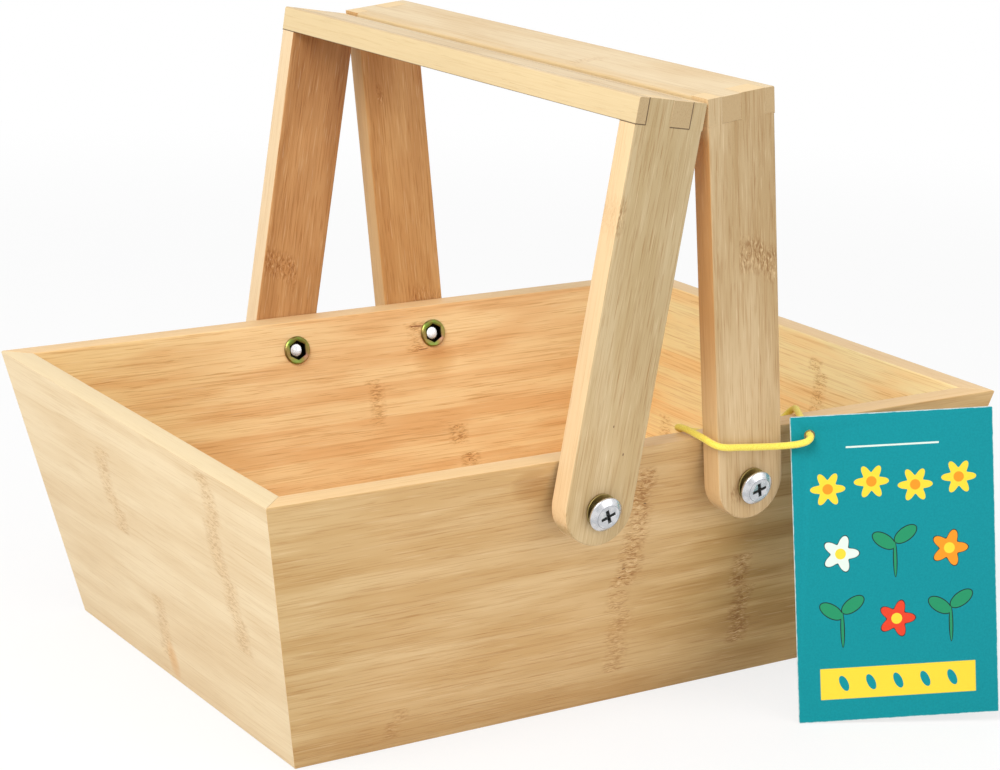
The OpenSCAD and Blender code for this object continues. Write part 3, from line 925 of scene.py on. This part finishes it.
def localBox(node):
    # how far a screw or insert node reaches along its own axis
    corner = node[node.index("front" if "front" in node else "back"):]
    spot, turn = screwFrame(corner)
    inverse = turn.to_matrix().inverted()
    heights = [(inverse @ (v.co - spot)).z for v in frame["nodes"][node].data.vertices]
    return min(heights), max(heights)


def makeScrew(low, high):
    h = hardware
    seat = high - h["headH"]
    rim = seat + h["headRim"]
    return lathe("screwPattern", [
        (h["screwR"] - 0.5 * mm, low), (h["screwR"], low + 0.5 * mm), (h["screwR"], seat),
        (h["headR"] - 0.25 * mm, seat), (h["headR"], seat + 0.25 * mm), (h["headR"], rim - 0.2 * mm),
        (h["headR"] - 0.07 * mm, rim), (h["headR"] - 0.24 * mm, rim + 0.14 * mm),
        (h["flatR"] + 0.3 * mm, high - 0.14 * mm), (h["flatR"] + 0.1 * mm, high - 0.03 * mm),
        (h["flatR"] - 0.1 * mm, high)], 96)


def cutRecess(screw, high, degrees):
    # two tapered blades make the cross
    h = hardware
    for quarter in (0, 90):
        blade = startCube("blade", (-h["recessWide"] / 2, -h["recessSlot"] / 2, high - h["recessDeep"]),
                          (h["recessWide"] / 2, h["recessSlot"] / 2, high + mm))
        pick(blade, "verts", lambda v: v.co.z < high)
        bpy.ops.transform.resize(value=(0.82, 0.8, 1), center_override=(0, 0, high - h["recessDeep"]))
        pick(blade, "verts", lambda v: v.co.z > high)
        bpy.ops.transform.resize(value=(1.0, 1.3, 1), center_override=(0, 0, high))
        leave()
        placePiece(blade, turn=(0, 0, math.radians(quarter + degrees)))
        cutOut(screw, blade)
    tidy(screw)
    easeEdges(screw, 0.07 * mm, 2, 40)
    smooth(screw)


def makeScrews():
    low, high = localBox("pivot_screw_front_left")
    pattern = makeScrew(low, high)
    for corner in corners:
        screw = copyOf(pattern, "pivotScrew_" + corner)
        cutRecess(screw, high, hardware["recessTurn"][corner])
        spot, turn = screwFrame(corner)
        placePiece(screw, spot, turn)
        zinc = zincLook("brightZinc_" + corner, tone(216, 216, 218), tone(192, 194, 198), 0.20, 0.12, corner, high)
        hand(screw, zinc, "root", "screw_steel", "pivot_screw_" + corner)
    bpy.data.objects.remove(pattern)


def makeWashers():
    look = zincLook("yellowZinc", tone(160, 140, 88), tone(132, 116, 70), 0.32, 0.14)
    for corner in corners:
        low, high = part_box("washer_" + corner)
        centre = (low + high) / 2
        t = hardware["washerT"] / 2
        hole = 3.38 * mm
        outer = (high.x - low.x) / 2
        ring = lathe("washer_" + corner + "_ring", [
            (hole, -t), (outer - 0.15 * mm, -t), (outer, -t + 0.15 * mm), (outer, t - 0.2 * mm),
            (outer - 0.2 * mm, t), (hole + 0.1 * mm, t), (hole, t - 0.1 * mm), (hole, -t)], solid=False)
        placePiece(ring, centre, (math.radians(90), 0, 0))
        smooth(ring)
        hand(ring, look, "root", "washer_steel", "washer_" + corner)


def makeInserts():
    h = hardware
    low, high = localBox("insert_nut_front_left")
    bore = h["screwR"] + 0.06 * mm
    pattern = lathe("insertPattern", [
        (bore, low + 0.3 * mm), (bore + 0.4 * mm, low), (h["flangeR"] - 0.45 * mm, low), (h["flangeR"], low + 0.45 * mm),
        (h["flangeR"], low + h["flangeT"]), (h["insertR"], low + h["flangeT"]), (h["insertR"], high - 0.4 * mm),
        (h["insertR"] - 0.4 * mm, high), (bore, high), (bore, low + 0.3 * mm)], solid=False)
    hexagon = startCylinder("socket", h["hexFlats"] / 2 / math.cos(math.pi / 6), 2 * h["hexDeep"],
                            (0, 0, low), sides=6)
    cutOut(pattern, hexagon)
    tidy(pattern)
    easeEdges(pattern, 0.12 * mm, 2, 50)
    smooth(pattern)
    for corner in corners:
        nut = copyOf(pattern, "insertNut_" + corner)
        spot, turn = screwFrame(corner)
        placePiece(nut, spot, turn)
        look = iridescentLook("yellowPassivate_" + corner, corner, low)
        hand(nut, look, "root", "insert_steel", "insert_nut_" + corner)
    bpy.data.objects.remove(pattern)


makeScrews()
makeWashers()
makeInserts()
print("hardware made")


# Swing tag and knot

tag = {
    "foot": Vector((46.0, -141.5, 0)) * mm,
    "turn": math.radians(28.4),
    "lean": math.radians(8),
    "roll": math.radians(3.5),
    "width": 74 * mm,
    "height": 113 * mm,
    "thick": 0.6 * mm,
    "holeR": 2.0 * mm,
    "holeIn": 7.0 * mm,
    "teal": tone(0, 138, 147),
    "deep": tone(0, 132, 141),
}


def tagMatrix():
    turned = Matrix.Rotation(-tag["turn"], 4, "Z") @ Matrix.Rotation(-tag["lean"], 4, "X")
    return Matrix.Translation(tag["foot"]) @ turned @ Matrix.Rotation(-tag["roll"], 4, "Y")


def petals(look, x, y, centre, count, reach, wide):
    # rounded petals round a centre, as one mask
    turn = look.node("ShaderNodeMath", {"operation": "ARCTAN2"}, {0: y - centre[1], 1: x - centre[0]})
    away = look.node("ShaderNodeMath", {"operation": "SQRT"},
                     {0: (x - centre[0]) * (x - centre[0]) + (y - centre[1]) * (y - centre[1])})
    lobe = look.node("ShaderNodeMath", {"operation": "COSINE"}, {0: turn * count})
    return look.ease(away - reach - wide * lobe, -0.12, 0.12, 1, 0)


def oval(look, x, y, centre, size, degrees=0):
    # an ellipse, turned in the card's plane
    c, s = math.cos(math.radians(degrees)), math.sin(math.radians(degrees))
    dx, dy = x - centre[0], y - centre[1]
    a = (dx * c + dy * s) / size[0]
    b = (dy * c - dx * s) / size[1]
    return look.ease(a * a + b * b, 0.94, 1.06, 1, 0)


def tagLook():
    look = Look("tealCard")
    inverse = tagMatrix().inverted()
    euler = inverse.to_euler()
    centre = tag["foot"]
    place = look.objectPlace(euler, centre)
    x, y, z = look.split(place)
    fibre = look.noise(place, 1.4, 2.0)
    colour = look.blend(look.ease(fibre, 0.3, 0.7), tag["teal"], tag["deep"])
    width, height = tag["width"] / mm, tag["height"] / mm
    yellow, cream, leaf = tone(240, 208, 58), tone(216, 228, 218), tone(34, 140, 96)
    red, orange, ink = tone(222, 66, 40), tone(236, 146, 36), tone(24, 34, 36)
    # a thin line, a row of blossoms, two rows of seedlings and blossoms, and a yellow band of drops
    line = look.ease(abs(z - 101), 0.25, 0.4, 1, 0) * (abs(x - width / 2) < width / 2 - 20)
    colour = look.blend(line, colour, cream)
    for step in range(4):
        middle = (13 + 16 * step, 86 + 2 * (step % 2))
        colour = look.blend(petals(look, x, z, middle, 6, 4.9, 1.5), colour, yellow)
        colour = look.blend(oval(look, x, z, middle, (1.9, 1.9)), colour, orange)
    for row, bottom in enumerate((28, 53)):
        for step in range(3):
            middle = 17 + 20 * step
            if (row + step) % 2 == 0:
                for grow, leafTone in ((0.35, ink), (0.0, leaf)):
                    colour = look.blend(oval(look, x, z, (middle, bottom + 6), (0.5 + grow, 6.4 + grow)), colour, leafTone)
                    for way in (-1, 1):
                        spot = (middle + way * 4.0, bottom + 14 + way)
                        colour = look.blend(oval(look, x, z, spot, (4.6 + grow, 2.3 + grow), way * 34), colour, leafTone)
            else:
                petalTone = (red, cream, orange)[(row + step // 2) % 3]
                middle = (middle, bottom + 9)
                colour = look.blend(petals(look, x, z, middle, 5, 5.55, 1.6), colour, ink)
                colour = look.blend(petals(look, x, z, middle, 5, 5.2, 1.6), colour, petalTone)
                colour = look.blend(oval(look, x, z, middle, (2.0, 2.0)), colour, yellow)
    band = look.ease(abs(x - width / 2), width / 2 - 8.5, width / 2 - 8.2, 1, 0) * look.ease(abs(z - 14), 5.6, 5.9, 1, 0)
    colour = look.blend(band, colour, yellow)
    for step in range(5):
        colour = look.blend(oval(look, x, z, (17 + 10 * step, 14), (1.5, 3.1), 24), colour, tag["teal"])
    # the back is bare grey board, and the cut edges are rubbed white
    faceNormal = look.node("ShaderNodeTexCoord", out="Normal")
    outFace = tagMatrix().to_3x3() @ -back
    facing = look.node("ShaderNodeVectorMath", {"operation": "DOT_PRODUCT"}, {0: faceNormal, 1: outFace}, out="Value")
    colour = look.blend(look.ease(facing, -0.8, -0.6, 1, 0), colour, tone(0, 120, 128))
    rim = (abs(x - width / 2) - (width / 2 - 0.35)).most(abs(z - height / 2) - (height / 2 - 0.35))
    wear = look.ease(rim + 0.5 * (look.noise(place, 0.5, 3.0) - 0.5), 0.0, 0.35)
    colour = look.blend(wear * 0.85, colour, tone(214, 226, 226))
    return look.finish({"Base Color": colour, "Roughness": 0.62 + 0.12 * fibre, "Specular IOR Level": 0.2, "Normal": look.bump(fibre, 0.00004, 0.3)})


def makeTag():
    card = startCube("swingTag", (0, -tag["thick"], 0), (tag["width"], 0, tag["height"]))
    pick(card, "edges", lambda e: abs(e.verts[0].co.y - e.verts[1].co.y) > tag["thick"] / 2)
    bpy.ops.mesh.bevel(offset=0.6 * mm, segments=4, affect="EDGES")
    leave()
    punch = startCylinder("punch", tag["holeR"], 0.01, (tag["holeIn"], 0, tag["height"] - tag["holeIn"]),
                          (math.radians(90), 0, 0), 48)
    cutOut(card, punch)
    tidy(card)
    easeEdges(card, 0.1 * mm, 2, 50)
    smooth(card)
    takeUp(card)
    card.matrix_world = tagMatrix()
    bpy.ops.object.transform_apply(location=True, rotation=True, scale=True)
    hand(card, tagLook(), "root", "card", "hang_tag")
    return card


def makeKnot():
    # an overhand knot: a trefoil of the same cord, pulled tight between the two ends
    low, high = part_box("tag_knot")
    centre = (low + high) / 2
    r = cord["diameter"] / 2
    data = bpy.data.curves.new("tagKnot", "CURVE")
    data.dimensions = "3D"
    data.bevel_depth = r * 0.82
    data.bevel_resolution = 4
    spline = data.splines.new("NURBS")
    turns = 24
    spline.points.add(turns - 1)
    for i, point in enumerate(spline.points):
        a = 2 * math.pi * i / turns
        y = 0.62 * r * (math.sin(a) + 1.1 * math.sin(2 * a))
        z = 0.62 * r * (math.cos(a) - 1.1 * math.cos(2 * a))
        point.co = (centre.x - 1.5 * r * math.sin(3 * a), centre.y + y * 0.9, centre.z + z * 0.9, 1)
    spline.use_cyclic_u = True
    spline.order_u = 4
    obj = bpy.data.objects.new("tagKnot", data)
    bpy.context.scene.collection.objects.link(obj)
    takeUp(obj)
    bpy.ops.object.convert(target="MESH")
    knot = bpy.context.object
    smooth(knot, 60)
    hand(knot, tagCord.data.materials[0], "root", "elastic", "tag_knot")
    return knot


swingTag = makeTag()
tagKnot = makeKnot()
print("tag made")


# Floor, lamps and background

studio = {
    "floorTone": (0.86, 0.86, 0.86, 1),
    "floorGrain": (0.88, 0.88, 0.88, 1),
    "floorGlow": 0.72,
    "world": 0.62,
    "key": {"place": (-1.35, -0.65, 1.6), "size": 1.1, "power": 30},
    "fill": {"place": (0.7, -1.9, 0.8), "size": 1.6, "power": 10},
    "top": {"place": (0.1, 0.3, 2.0), "size": 1.6, "power": 3},
}


def seenDirectly(look):
    # 1 for what the camera sees, also in metal and through glass
    rays = look.node("ShaderNodeLightPath", out="Is Camera Ray")
    paths = rays.socket.node
    return rays.most(Wire(look, paths.outputs["Is Glossy Ray"])).most(Wire(look, paths.outputs["Is Transmission Ray"]))


def makeFloor():
    # white paper: lit as paper, and mostly plain white to the eye so only a faint shadow stays
    clearSelection()
    bpy.ops.mesh.primitive_plane_add(size=12)
    floor = bpy.context.object
    floor.name = "floor"
    look = Look("floorPaper")
    seen = seenDirectly(look)
    place = look.objectPlace()
    grain = look.noise(place, 0.02, 2.0)
    x, y, z = look.split(place)
    far = look.ease(x * x + y * y, 160000, 1440000, studio["floorGlow"], 1)
    paper = look.node("ShaderNodeBsdfPrincipled", None, {
        "Base Color": look.blend(grain, studio["floorTone"], studio["floorGrain"]), "Roughness": 0.8})
    white = look.node("ShaderNodeEmission", None, {"Color": (1, 1, 1, 1), "Strength": 1.0})
    mixed = look.node("ShaderNodeMixShader", None, {0: seen * far, 1: paper, 2: white})
    look.node("ShaderNodeOutputMaterial", None, {"Surface": mixed})
    floor.data.materials.append(look.material)


def makeLamps():
    for name in ("key", "fill", "top"):
        lamp = studio[name]
        data = bpy.data.lights.new(name, "AREA")
        data.shape = "SQUARE"
        data.size = lamp["size"]
        data.energy = lamp["power"]
        obj = bpy.data.objects.new(name, data)
        bpy.context.scene.collection.objects.link(obj)
        obj.location = lamp["place"]
        aim = Vector((0, 0, 0.1)) - obj.location
        obj.rotation_mode = "QUATERNION"
        obj.rotation_quaternion = aim.to_track_quat("-Z", "Y")


def makeWorld():
    world = bpy.data.worlds.new("studio")
    bpy.context.scene.world = world
    world.use_nodes = True
    look = Look(tree=world.node_tree)
    seen = seenDirectly(look)
    glow = look.node("ShaderNodeBackground", None, {"Color": (1, 1, 1, 1),
                                                    "Strength": studio["world"] + seen * (1 - studio["world"])})
    look.node("ShaderNodeOutputWorld", None, {"Surface": glow})


makeFloor()
makeLamps()
makeWorld()
bpy.context.scene.view_settings.view_transform = "Standard"
print("studio set")
